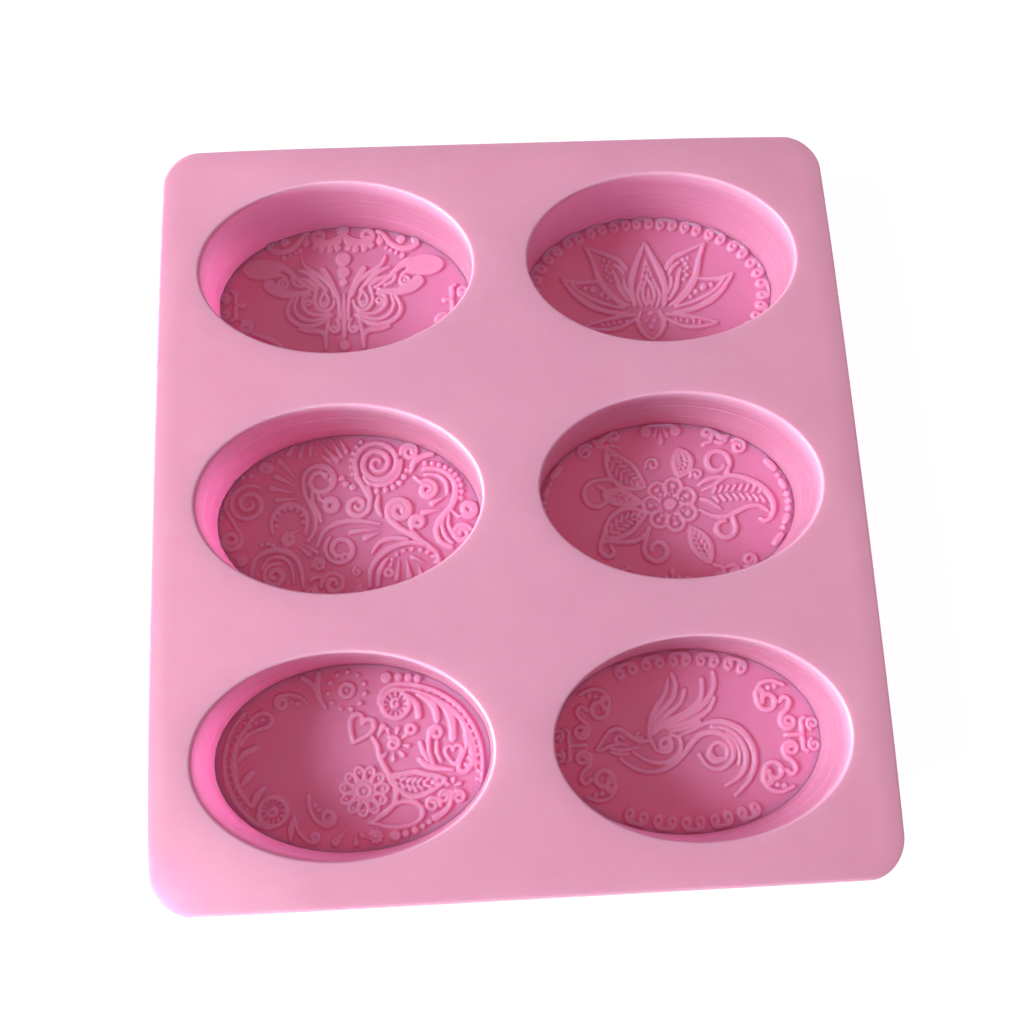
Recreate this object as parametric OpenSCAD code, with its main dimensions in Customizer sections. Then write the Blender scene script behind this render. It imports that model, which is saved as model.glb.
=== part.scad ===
// Six-cup silicone soap mould: a thin flexible sheet with six oval cups hanging under it.
// Each cup's floor carries a raised ornament, which prints itself into the bar of soap.
// Millimetres. Z is up, and the mould stands on the six cups at z = 0.
// The origin is at the middle of the underside. The cups' long axes lie along X.

/* [Sheet] */
// Width of the top sheet, along X
sheet_w = 196.2; // [190:0.2:205]
// Length of the top sheet, along Y
sheet_l = 214; // [208:1:225]
// Thickness of the top sheet
sheet_t = 2.2; // [1.6:0.1:3]
// Radius of the sheet's four corners
corner_r = 11; // [8:0.5:16]
// Width of the thicker band round the sheet's edge
band_w = 3; // [2:0.5:4]
// Thickness of that band, measured down from the top face
band_t = 3.2; // [2.4:0.1:6]

/* [Cups] */
// Long diameter of a cup's mouth
cup_l = 80; // [76:0.2:81]
// Short diameter of a cup's mouth
cup_w = 54.4; // [50:0.2:55]
// Depth of a cup, from the top face to its floor
depth = 26; // [20:1:32]
// Thickness of a cup's side wall
wall_t = 2; // [1.4:0.1:2.4]
// Thickness of a cup's floor
floor_t = 2; // [1.4:0.1:3]
// How much narrower a cup is at its foot than at its mouth, on each side
draft = 0.4; // [0.2:0.1:1]
// Distance between the two columns of cups
pitch_x = 94.5; // [92:0.5:98]
// Distance between the three rows of cups
pitch_y = 68.8; // [66:0.2:72]

/* [Ornament] */
// Height of the raised ornament above the floor
relief_h = 0.9; // [0.5:0.1:1.4]
// Gap between a floor and the wall round it, where the floor flexes as it is pressed up
flex_gap = 0.3; // [0.2:0.05:0.5]

/* [Hidden] */
top_z = floor_t + depth;          // top face of the sheet
wall_top = top_z - sheet_t;       // where a wall meets the underside of the sheet
mouth = [cup_l / 2, cup_w / 2];   // semi-axes of a cup's mouth
foot = mouth * (1 - draft / mouth[0]);   // semi-axes of its hollow at the floor
rings = [0.4, 0.74];              // where the two moulding rings lie, as shares of the depth
column = pitch_x / 2;
lift = 0.04;                      // closes hairline gaps between neighbouring strokes

CUPS = [
    ["butterfly", [-column, pitch_y]], ["lotus", [column, pitch_y]],
    ["scroll", [-column, 0]], ["blossom", [column, 0]],
    ["paisley", [-column, -pitch_y]], ["bird", [column, -pitch_y]]
];

// ---- Sheet and cups ----------------------------------------------------------------------

// A plate with round corners, centred on the origin
module rounded_plate(w, l, r, t) {
    translate([-w / 2 + r, -l / 2, 0]) cube([w - 2 * r, l, t]);
    translate([-w / 2, -l / 2 + r, 0]) cube([w, l - 2 * r, t]);
    for (x = [-1, 1], y = [-1, 1])
        translate([x * (w / 2 - r), y * (l / 2 - r), 0]) cylinder(r = r, h = t, $fn = 64);
}

// The outline of an oval with the semi-axes semi
function oval_outline(semi) = [for (a = [0:5.625:359]) [semi[0] * cos(a), semi[1] * sin(a)]];

// An upright oval column, straight-sided, with flat ends
module oval(semi, h) {
    linear_extrude(h) polygon(oval_outline(semi));
}

module top_sheet() {
    color("pink") difference() {
        translate([0, 0, wall_top])
            rounded_plate(sheet_w - 2 * band_w, sheet_l - 2 * band_w, corner_r - band_w, sheet_t);
        for (c = CUPS) translate([c[1][0], c[1][1], wall_top - 1]) oval(mouth, sheet_t + 2);
    }
}

module edge_band() {
    color("pink") difference() {
        translate([0, 0, top_z - band_t]) rounded_plate(sheet_w, sheet_l, corner_r, band_t);
        translate([0, 0, top_z - band_t - 1])
            rounded_plate(sheet_w - 2 * band_w, sheet_l - 2 * band_w, corner_r - band_w, band_t + 2);
    }
}

module wall() {
    outside = [mouth[0] + wall_t, mouth[1] + wall_t];
    color("hotpink") difference() {
        oval(outside, wall_top);
        // the hollow narrows by half the draft at each moulding ring
        translate([0, 0, -1]) oval(foot, wall_top + 2);
        translate([0, 0, top_z - rings[1] * depth]) oval((mouth + foot) / 2, wall_top);
        translate([0, 0, top_z - rings[0] * depth]) oval(mouth, wall_top);
    }
}

module cup_floor() {
    color("palevioletred") oval([foot[0] - flex_gap, foot[1] - flex_gap], floor_t);
}

// ---- Ornament strokes --------------------------------------------------------------------

// A smooth curve through the points p, in n steps a span
function curve(p, n = 2) = let (m = len(p) - 1) concat(
    [for (i = [0:m - 1], k = [0:n - 1])
        let (a = p[max(i - 1, 0)], b = p[i], c = p[i + 1], d = p[min(i + 2, m)], t = k / n)
        b + ((c - a) * t + (2 * a - 5 * b + 4 * c - d) * t * t
            + (3 * b - a - 3 * c + d) * t * t * t) / 2],
    [p[m]]);

// A coil round c that starts at radius r and angle a and winds in; turns < 0 is clockwise
function coil(c, r, a, turns, end = 0.3) = let (n = ceil(abs(turns) * (r < 2.6 ? 12 : r < 5 ? 15 : 18)))
    [for (i = [0:n]) let (s = r * (1 + (end - 1) * i / n), b = a + 360 * turns * i / n)
        c + s * [cos(b), sin(b)]];

// A ribbon along the points q; w is its half-width at its start, middle and end
module ribbon(q, w = [0.5, 0.75, 0.5]) {
    k = len(q) - 1;
    d = [for (i = [0:k]) let (v = q[min(i + 1, k)] - q[max(i - 1, 0)], t = 2 * i / k,
        h = t < 1 ? w[0] + (w[1] - w[0]) * t : w[1] + (w[2] - w[1]) * (t - 1))
        h * [-v[1], v[0]] / norm(v)];
    for (i = [0:k - 1]) polygon([q[i] - d[i], q[i] + d[i], q[i + 1] + d[i + 1], q[i + 1] - d[i + 1]]);
    cap(q[0], -d[0]);
    cap(q[k], d[k]);
}

// The round end of a ribbon at p, where d is half its width, pointing to its left
module cap(p, d) {
    e = [d[1], -d[0]];
    polygon([p - d, p - 0.75 * d + 0.65 * e, p + e, p + 0.75 * d + 0.65 * e, p + d]);
}

// A ribbon smoothed through a few points
module sweep(p, w = [0.5, 0.75, 0.5], n = 2) ribbon(curve(p, n), w);

module dot(p, r = 0.7) translate(p) circle(r, $fn = r < 0.66 ? 6 : r < 1.2 ? 8 : 14);
module dots(list, r = 0.7) for (p = list) dot(p, r);
module ring(p, r, w = 0.5) ribbon(coil(p, r, 0, 1, 1), [w, w, w]);

// A small closed-up coil
module curl(c, r, a, turns) ribbon(coil(c, r, a, turns, 0.25), r * [0.2, 0.23, 0.2]);

// A drop with its point at a and its round end of radius r at b
module drop(a, b, r) {
    v = (b - a) / norm(b - a);
    u = [-v[1], v[0]];
    polygon(concat([a], [for (i = [-75:37.5:75]) b + r * 1.03 * (v * cos(i + i / 4) + u * sin(i + i / 4))]));
}

// A short straight tick from a to b
module tick(a, b, w = 0.42) {
    v = w * (b - a) / norm(b - a);
    u = [-v[1], v[0]];
    polygon([a - u * 0.7, a + u * 0.7, b - v + u, b, b - v - u]);
}

module both_x() { children(); mirror([1, 0]) children(); }
module both_y() { children(); mirror([0, 1]) children(); }

// A pair of curls that spring from one stem, opening towards -Y, like a ram's horns
module horns(p, a = 0, s = 1)
    translate(p) rotate(a) scale([s, 1.3 * s]) both_x()
        ribbon(concat([[0.1, 1.6]], coil([1.8, 0.1], 1.5, 110, -1.05, 0.4)), [0.4, 0.5, 0.55]);

// A leaf along the points p: two edges of half-spread wide, with slanting veins between them
module leaf(p, wide, n = 3) {
    q = curve(p, n);
    k = len(q) - 1;
    side = [for (i = [0:k]) let (v = q[min(i + 1, k)] - q[max(i - 1, 0)])
        wide * sin(180 * i / k) * [-v[1], v[0]] / norm(v)];
    for (s = [-1, 1]) {
        ribbon([for (i = [0:k]) q[i] + s * side[i]], [0.5, 0.75, 0.5]);
        for (i = [1:k - 2])
            tick(q[i] + s * side[i] * 0.08, q[i + 1] + s * side[i + 1] * 0.6);
    }
}

// ---- Ornaments ---------------------------------------------------------------------------

module ornament_butterfly() translate([-0.5, 0]) {
    // a column of beads over the body
    dot([0, 14.7], 2.4);
    dot([0, 10.2], 2);
    dot([0, 6.8], 1.2);
    ribbon([[0, 3], [0, -4], [0, -11.5]], [0.3, 0.7, 0.6]);
    dot([0, -14.2], 1.7);
    both_x() {
        // palmettes at the top and the bottom
        both_y() {
            dot([0, 24.8], 1.9);
            ribbon(concat(curve([[0, 24], [1, 22.2], [3.5, 20.9]]), coil([7.4, 22.6], 2.5, 240, 1.2)),
                [1, 0.8, 0.6]);
            sweep([[0.8, 21], [2, 20], [5, 20], [7.5, 19.8]], [0.6, 1, 1]);
            dots([[1.6, 18.6], [4, 18], [6.6, 18.3], [8.8, 19.2]], 1.05);
            drop([11.2, 23.2], [11.6, 20.4], 1.1);
            sweep([[10.8, 23.9], [12.4, 23.2], [14.6, 20], [17.5, 18], [20.6, 17.8], [23, 19.2],
                [22.4, 21]], [0.6, 0.9, 1.1]);
            dot([18.2, 20.9], 1.4);
            dots([[13.5, 18.2], [14.9, 17.2], [16.5, 16.4]], 0.6);
            dot([18.5, 15.5], 0.9);
        }
        // upper wing: a round paddle, a lobe under it and an eye
        translate([25.5, 12]) scale([5.9, 3.5]) circle(1, $fn = 32);
        sweep([[21, 13.4], [18, 12], [15, 9], [12, 6.2], [9.6, 4.8]], [1.5, 0.7, 0.4]);
        sweep([[21.6, 10], [19.6, 9.9], [17.8, 8.8]], [1.2, 0.6, 0.3]);
        sweep([[23.2, 6.6], [21, 4.4], [17, 3.2], [13.2, 3.4], [10.6, 4.2]], [1.9, 1.4, 0.4]);
        sweep([[16.2, 8.6], [15.2, 6.4], [12.8, 5.4]], [0.5, 0.6, 0.4]);
        ring([18.9, 6.9], 1.5, 0.45);
        dot([18.9, 6.9], 0.6);
        // long blades
        sweep([[13.1, 15.4], [12.2, 12.9], [9.8, 10.9], [6.6, 8.6], [4, 5.6], [2.6, 2]], [0.4, 0.8, 0.4]);
        sweep([[14.2, 11.5], [10.8, 9.9], [7.6, 6.9], [5, 4]], [0.5, 0.8, 0.4]);
        sweep([[13.2, 8.6], [10.4, 7.4], [8, 5.2]], [0.4, 0.7, 0.4]);
        sweep([[6.4, 11.4], [4.6, 8.6], [3, 5], [1.6, 1], [1.3, -5.5]], [0.9, 0.7, 0.4]);
        // drops and nested bows of the lower wing
        sweep([[5.9, 3.9], [4.7, 1], [5.4, -1], [6.9, -0.8], [7.3, 1.2], [5.9, 3.9]], [0.4, 0.5, 0.4]);
        dot([6, 0.2], 0.6);
        sweep([[8.4, 4.4], [9, 1], [8, -1.8], [5.6, -2.7], [3.4, -1.4], [3, 0.6]], [0.5, 0.6, 0.4]);
        sweep([[10.4, 2.9], [12.2, 2.4], [13, 0.4], [12.2, -2], [9.8, -3.7], [7, -4], [4.6, -3.3]],
            [0.5, 0.7, 0.4]);
        ring([11, 0.3], 0.9, 0.4);
        sweep([[14.6, 1.8], [15.4, -1], [14.2, -4], [11.2, -5.7], [7.6, -5.4], [4.2, -3.8]], [0.4, 0.6, 0.4]);
        sweep([[16, 1.5], [17.6, -1.4], [16.8, -4.8], [13.8, -7], [10.2, -7.6], [6.4, -6.4], [3.6, -4]],
            [0.5, 0.8, 0.4]);
        // tails and small curls
        sweep([[14, -8.4], [11, -9.3], [8, -9.3], [6.1, -10.4], [5.8, -12.6], [5.9, -15]], [0.4, 0.9, 0.5]);
        sweep([[4.6, -6], [5.2, -8], [5.6, -10.5]], [0.4, 0.6, 0.5]);
        ribbon(concat([[2.4, -5.4], [1.6, -6.8]], coil([3, -8.6], 1.5, 180, 1)), [0.4, 0.6, 0.4]);
        // motifs at the ends of the oval
        both_y() ribbon(coil([37, 2.6], 1.7, 250, -1.1), [0.5, 0.6, 0.5]);
        both_y() sweep([[34.8, 5], [33.4, 4], [33.6, 2], [33.2, 0]], [0.5, 0.6, 0.6]);
        drop([33.4, 0], [31.2, 0], 0.9);
        ribbon(coil([30.4, -7], 2.3, 60, 1.2), [0.6, 0.9, 0.6]);
        sweep([[28, -9.4], [24.6, -10.6], [21.2, -12.4], [18.6, -15]], [0.5, 0.8, 0.5]);
    }
}

module ornament_lotus() {
    // a border of horned curls, evenly spaced round the oval
    for (k = [0:23]) let (t = 15 * k - 6 * sin(30 * k), x = 36 * sin(t), y = 23.4 * cos(t))
        horns([x, y], -atan2(x / 36, y / 23.4 * 1.54), 1);
    both_x() {
        // middle petal
        sweep([[0, 17.2], [2.1, 12.4], [4.3, 7], [5.4, 1.4], [4.6, -4.2]], [0.5, 1, 0.7]);
        for (k = [0:3]) drop([0.55 + 0.62 * k, 9.6 - 2.1 * k], [0.7 + 0.62 * k, 7.8 - 2.1 * k], 0.55);
        sweep([[0.2, 4.6], [1.5, 1.6], [1.8, -1.6], [0.8, -4.4]], [0.3, 0.5, 0.4]);
        sweep([[2.2, 3.4], [3.3, 0.6], [3.4, -2], [2.4, -4.6]], [0.3, 0.5, 0.4]);
        // upper side petal
        sweep([[19, 16.2], [16.9, 11], [15.4, 5], [12.4, -0.4], [8, -4.6]], [0.4, 1, 0.6]);
        sweep([[18.6, 16], [13, 13.6], [8.6, 11.4], [6.4, 8.2]], [0.4, 0.9, 0.7]);
        sweep([[14.4, 4.2], [12, 0.4], [9.4, -2.4], [6.6, -4.4]], [0.4, 0.6, 0.4]);
        sweep([[10.3, 9.8], [8.4, 8.4], [7.2, 6.2]], [0.5, 0.6, 0.4]);
        sweep([[10.8, 8], [9.6, 4.4], [8.8, 1], [6.4, -2.6]], [0.4, 0.8, 0.4]);
        sweep([[7.6, 5], [7.2, 2], [6.2, -0.6]], [0.4, 0.6, 0.3]);
        dots([[13.4, 11.4], [11.8, 10.9], [12.6, 9.5], [13.2, 8], [12, 6.9], [12.8, 5.6], [11.6, 4.2]], 0.62);
        // lower side petal
        sweep([[27.2, 5.8], [22.6, 4.1], [16.6, 4.2]], [0.4, 0.7, 0.5]);
        sweep([[27, 5.4], [23.8, 0.6], [19, -3.6], [13, -6.2], [7.4, -7]], [0.4, 1, 0.6]);
        sweep([[24.4, 4], [21.6, 0.8], [17.4, -2], [12.6, -4], [8.4, -5.2]], [0.4, 0.6, 0.4]);
        dot([20, 2], 0.8);
        dot([17.5, 1.4], 1.1);
        dot([15, -0.2], 0.8);
        dot([13.2, -1.8], 0.6);
        // bottom petal
        sweep([[21, -10.6], [15, -9], [9.4, -7.9], [5, -7.4]], [0.3, 0.6, 0.5]);
        sweep([[20.6, -11.1], [15, -12.1], [9.4, -11.4], [4.8, -8.8]], [0.3, 0.7, 0.5]);
        for (k = [0:4]) dot([7.8 + 1.9 * k, -9.4 - 0.25 * k], 0.55);
        sweep([[3, -6.4], [4.2, -9.4], [3, -13.2], [0.4, -15.8]], [0.5, 0.8, 0.5]);
        dot([1.2, -9.3], 0.6);
    }
    drop([0, 11.8], [0, 9.9], 0.6);
    drop([0, 7], [0, 5.4], 0.5);
    drop([0, 2.2], [0, -3.2], 0.8);
    dot([0, -7], 0.9);
    dot([0, -11.6], 0.9);
}

module ornament_scroll() {
    // great coil at the top with a coil hanging from its stem
    ribbon(concat(curve([[6.2, 6.4], [4.6, 9.2], [2.6, 12.6]]), coil([8.8, 16.6], 6.9, 175, -2.4, 0.12)),
        [0.7, 0.8, 0.5]);
    sweep([[4.6, 12.6], [6, 10.6], [9, 9.9], [12.6, 10.8], [15.2, 13.6], [15.8, 17.4]], [0.4, 0.7, 0.5]);
    ribbon(concat([[5.6, 9.4], [6.4, 6.6]], coil([2.6, 3.8], 3.7, 10, -1.5, 0.2)), [0.7, 0.8, 0.5]);
    dots([[8.4, 8.1], [11, 8.3], [13.3, 9], [15.2, 10.3], [16.6, 12.2]], 0.85);
    dots([[17.4, 14.2], [4, 23.6], [2.6, 22], [1.6, 20.1], [1, 18], [0.8, 15.8], [1.1, 13.6]], 0.65);
    dots([[1.4, 9.6], [-0.8, 10.6], [-2, 12.4]], 1);
    // coils and arcs on the right
    curl([18.4, 19.8], 2.7, 190, -1.6);
    sweep([[18.6, 13.6], [19.8, 16.6], [22.6, 18.4], [25.2, 18.8]], [0.5, 1, 0.7]);
    sweep([[22.4, 14.4], [26, 14.3], [29.4, 12.6], [31.6, 9.4], [31.6, 5.4], [29.8, 1.8], [27, -1],
        [25.6, -4.4], [26.6, -8], [30, -10]], [0.5, 0.9, 0.6]);
    sweep([[22.8, 12.6], [26.6, 12.2], [29, 9.8], [29.2, 6.6]], [0.3, 0.6, 0.4]);
    for (k = [0:9]) dot([23 + 10.6 * sin(11.5 * k), 4.6 + 11.5 * cos(9.8 * k)], 0.75);
    ribbon(concat([[19.6, 12], [20.8, 10.8]], coil([23.4, 7.9], 3.1, 130, -1.6, 0.2)), [0.5, 0.8, 0.5]);
    drop([28.6, 5.4], [24.8, 3.7], 0.8);
    drop([27.8, 1.8], [22, 0.9], 0.9);
    ribbon(concat([[30.6, 1], [32.4, -0.8]], coil([35.4, 1.4], 2.7, 220, 1.6)), [0.4, 0.8, 0.5]);
    curl([33.2, -5.9], 3, 20, 1.5);
    sweep([[28.4, 0], [27.4, -3.4], [28.4, -6.8], [30.4, -8.6]], [0.3, 0.6, 0.4]);
    sweep([[29.6, 0.2], [29.2, -3], [30.2, -5.6]], [0.3, 0.5, 0.3]);
    // pair of coils rising from one stem
    ribbon(concat(curve([[26.2, -14.6], [25.4, -11.2], [20.4, -7], [15.6, -4], [12.2, -1]]),
        coil([15, 1.9], 3.8, 190, -1.6, 0.2)), [0.6, 1, 0.6]);
    ribbon(concat([[20.2, -6.2], [18.4, -4.6]], coil([20.2, -1.9], 2.3, 220, -1.5)), [0.5, 0.7, 0.5]);
    sweep([[8.9, 6.4], [8.2, 3.4], [9.6, 0.4]], [0.4, 0.8, 0.4]);
    // stem and coils left of the middle
    ribbon(concat(curve([[-12.2, -6.4], [-9.8, -2.6], [-10.4, 2.6], [-12.8, 7.2]]),
        coil([-8.4, 12], 5.2, 180, -1.4, 0.4)), [0.5, 0.9, 0.6]);
    sweep([[-10.6, 9.4], [-10.8, 5.8], [-9, 2.2], [-8.2, -0.8]], [0.4, 0.6, 0.4]);
    for (k = [0:5]) dot([-8.6, 11.6] + 3.2 * [cos(190 - 36 * k), sin(190 - 36 * k)], 0.6);
    ribbon(concat([[-9, 7.2], [-8.2, 6]], coil([-5.3, 4.2], 2.6, 150, -1.6)), [0.4, 0.8, 0.5]);
    // coils on the left
    ribbon(coil([-29.6, 5.6], 6, 60, 1.9, 0.16), [0.5, 0.8, 0.5]);
    ribbon(concat(curve([[-34.8, 9.6], [-36.6, 5], [-34, 0.4]]), coil([-34.6, -5.2], 3.5, 55, -1.6, 0.2)),
        [0.4, 0.8, 0.5]);
    dots([[-37.6, 7], [-38, 4.4], [-37.4, 1.6], [-33.6, 13], [-31.4, 14], [-29, 14.2]], 0.65);
    curl([-24.4, 16.4], 2.1, 210, -1.6);
    sweep([[-22.4, -3.8], [-23, 0], [-21, 3.6], [-17.4, 5], [-13.6, 3.4], [-12.2, 0], [-13, -4.2]],
        [0.4, 0.8, 0.4]);
    for (k = [0:7]) dot([-17.6, -0.4] + 4 * [cos(195 - 28 * k), sin(195 - 28 * k)], 0.6);
    ribbon(concat([[-15.2, -3.2]], coil([-17.8, -5.7], 2.2, 60, 1.6)), [0.4, 0.7, 0.5]);
    // fans of blades
    drop([-15.4, 12.4], [-20.4, 18.6], 1);
    drop([-15.6, 10.4], [-21.6, 13.8], 0.9);
    drop([-15.4, 8.4], [-23.2, 10.2], 0.9);
    drop([-14.8, 6.6], [-21.2, 6.6], 0.8);
    drop([-16, 23.6], [-17.8, 20.6], 0.8);
    drop([-13.4, 24], [-14.3, 19.8], 0.8);
    drop([-11, 24.6], [-11.5, 20], 0.6);
    drop([-9, 24.4], [-3.4, 18], 0.9);
    drop([-8.2, 20.4], [-5.6, 17.9], 0.6);
    drop([-5.2, 25], [-2, 19.2], 0.65);
    drop([-2.4, 24.8], [-0.5, 20.8], 0.65);
    // middle coil with long leaves
    sweep([[-9.4, -8], [-7.8, -4], [-3.6, -1.2], [2.4, -0.8], [9, -2]], [0.4, 0.9, 0.4]);
    ribbon(coil([-2.6, -9.2], 4.9, 130, 1.5, 0.35), [0.5, 0.8, 0.6]);
    for (k = [0:4]) dot([-2.6, -9] + 2.7 * [cos(160 + 40 * k), sin(160 + 40 * k)], 0.65);
    drop([9.4, -3.2], [0.6, -4.1], 0.8);
    drop([9.4, -4.6], [4.8, -6], 0.9);
    // lower left
    sweep([[-28.6, -16.6], [-28, -11.6], [-24, -8.9], [-19, -9], [-15.4, -11.8], [-14, -16], [-13.6, -20.4]],
        [0.5, 0.9, 0.5]);
    sweep([[-26, -14.4], [-23.6, -11.2], [-19.8, -10.9], [-17, -13.6], [-16.4, -18.6]], [0.3, 0.6, 0.4]);
    ribbon(coil([-21.8, -16.4], 3.7, 70, 1.6, 0.2), [0.5, 0.8, 0.5]);
    dots([[-25.8, -6.9], [-24, -6.7], [-22.3, -7.2]], 0.7);
    drop([-15.4, -7.6], [-11.8, -10.4], 0.7);
    drop([-13, -7.4], [-9.6, -10], 0.6);
    curl([-31.6, -11.6], 1.8, 150, -1.5);
    curl([-9, -13.6], 2.1, 200, -1.5);
    ribbon(coil([-4.8, -19.4], 3.7, 190, -1.6, 0.2), [0.5, 0.8, 0.5]);
    curl([2.2, -16], 1.5, 110, 1);
    sweep([[-8.4, -17.2], [-10.4, -17.4], [-11.6, -18.6]], [0.4, 0.6, 0.4]);
    curl([-11.4, -21.8], 1.8, 60, -1.5);
    curl([3, -22.6], 2.2, 90, 1.5);
    drop([-19.4, -20.9], [-16.6, -22.4], 0.8);
    // lower right
    sweep([[6.6, -10.6], [9, -7.5], [13, -6.4], [17, -7]], [0.3, 0.8, 0.5]);
    sweep([[5.8, -20.6], [6, -16], [8.4, -12], [12.6, -9.2], [18, -8], [22.4, -8.9]], [0.5, 0.9, 0.4]);
    for (k = [0:8]) dot([18.6 - 6.6 * cos(22 * k), -14.4 + 4.4 * sin(22 * k)], 0.6);
    sweep([[8.2, -20.4], [8.6, -16], [11, -12.6]], [0.4, 0.8, 0.4]);
    ring([11.4, -16.8], 1.1);
    drop([14.4, -12.8], [13.6, -18.6], 0.7);
    drop([16.6, -13], [17.4, -18.2], 0.7);
    drop([22.4, -14.6], [18.4, -12.4], 0.6);
    drop([20, -14.8], [21, -18.6], 0.8);
    drop([9.6, -21.6], [10.4, -24], 0.7);
    drop([13, -20.8], [14.8, -22.9], 0.7);
}

module ornament_blossom() {
    // middle flower
    translate([1.2, 0.2]) {
        ribbon(coil([0, 0], 1.7, 0, 1.6), [0.4, 0.5, 0.5]);
        for (a = [0:360 / 7:359]) rotate(a + 25) {
            sweep([[3, -0.7], [4.8, -2.6], [7.4, -1.9], [8.1, 0], [7.4, 1.9], [4.8, 2.6], [3, 0.7]],
                [0.4, 0.6, 0.4], 2);
            dot([5.9, 0], 0.8);
            dot([4.2, 0], 0.45);
        }
    }
    // veined leaves
    leaf([[-16.9, 18.4], [-14, 12.6], [-10.2, 8.6], [-6, 6]], 3.9);
    leaf([[-19, 4], [-14.6, 3.2], [-7.4, 1]], 2.1, 4);
    leaf([[-20, -10.4], [-15.6, -6.2], [-11, -3.4], [-6.4, -2.4]], 3.7);
    leaf([[11.6, -18], [9.4, -12.4], [6.6, -7]], 2.6, 4);
    leaf([[5, 17.4], [6, 13.4], [4.6, 8.6]], 2.7, 4);
    sweep([[11.6, 4.4], [15.4, 6], [19.4, 8.6], [25, 7.4], [29.8, 4.2], [32.4, -0.4], [31.4, -4.6],
        [29.2, -5.9], [28, -5]], [0.4, 0.9, 0.5]);
    sweep([[10, -1.8], [13.6, -3.8], [18.4, -3.9], [23.6, -1.5], [28, -1.1], [30.4, -2.8]], [0.5, 0.8, 0.4]);
    for (k = [0:7]) let (x = 14.4 + 2 * k, y = 3.4 - 0.06 * (k - 3) * (k - 3)) {
        tick([x, y + 0.5], [x + 1.2, y + 2.5], 0.45);
        tick([x, y - 0.4], [x + 1.7, y - 2.7], 0.45);
    }
    sweep([[10.6, 1.6], [13, 0.8], [16.4, -1.8]], [0.5, 0.6, 0.3]);
    sweep([[10.4, 6], [13.4, 7.7], [17.6, 8.4]], [0.4, 0.7, 0.4]);
    sweep([[-20.2, -9.8], [-20.8, -13], [-18.6, -15], [-16.6, -13.6], [-17.6, -11.8]], [0.7, 0.8, 0.5]);
    sweep([[-19.4, -10.2], [-13, -10.8], [-8.6, -9.8], [-5.6, -7]], [0.4, 0.8, 0.5]);
    // open curls between the leaves
    ribbon(concat([[-13.4, 7.4], [-17.4, 8.9]], coil([-20.6, 4], 4.6, 95, 0.95, 0.55)), [0.5, 0.8, 0.6]);
    ribbon(concat([[-5.8, -6.8]], coil([-3.8, -13.4], 4.2, 150, 1.1, 0.4)), [0.6, 0.9, 0.6]);
    ribbon(concat([[18.8, 8.6]], coil([16.4, 12.8], 4.1, 350, 0.95, 0.55)), [0.6, 0.8, 0.6]);
    ribbon(concat([[19.4, -4]], coil([17, -7.6], 3.5, 30, -0.85, 0.6)), [0.6, 0.8, 0.6]);
    curl([-3.2, 12.8], 2.3, 200, -1.1);
    curl([10, 9.3], 2, 200, -1.1);
    // border
    dot([37, 0], 0.95);
    dot([-37, 0], 0.95);
    both_y() {
        drop([0, 23.8], [0, 19.8], 0.7);
        both_x() {
            ribbon(concat([[0, 25.2], [2.6, 25.2]], coil([4.4, 23.2], 1.5, 80, -1.1)), [0.5, 0.6, 0.6]);
            drop([0.9, 24.6], [1.9, 21.9], 0.7);
            ribbon(concat([[12.8, 18.6], [15.2, 19.4]], coil([14.2, 22], 1.9, 310, 1)), [0.5, 0.6, 0.5]);
            sweep([[16.6, 22.6], [18.4, 20.6], [20.6, 20.8]], [0.5, 0.9, 0.5]);
            sweep([[16.4, 19.4], [18.4, 18.8], [20, 19.6]], [0.4, 0.6, 0.4]);
            curl([23.4, 17.5], 2.5, 130, -1.3);
            sweep([[31.6, 12.8], [33.8, 10.2]], [0.8, 1, 0.8]);
            dot([34.6, 8], 0.75);
            sweep([[35.4, 6.3], [36.3, 4.4]], [0.75, 0.85, 0.75]);
            dot([36.8, 2.2], 0.9);
        }
    }
}

// A coil edged with short rays inside it
module rayed_coil(c, r, a, turns) {
    ribbon(coil(c, r, a, turns, 0.9), [0.6, 0.7, 0.6]);
    ribbon(coil(c, r * 0.38, a, turns * 0.9, 0.3), [0.4, 0.5, 0.5]);
    for (i = [0:30:359]) tick(c + r * 0.78 * [cos(i), sin(i)], c + r * 0.52 * [cos(i), sin(i)], 0.28);
}

// A heart outline with its point at p
module heart(p, a, s) translate(p) rotate(a) scale(s) {
    both_x() sweep([[0, 0], [2.4, 3], [3.4, 5.6], [2.2, 7.4], [0.6, 7], [0, 5.6]], [0.5, 0.7, 0.5]);
}

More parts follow.
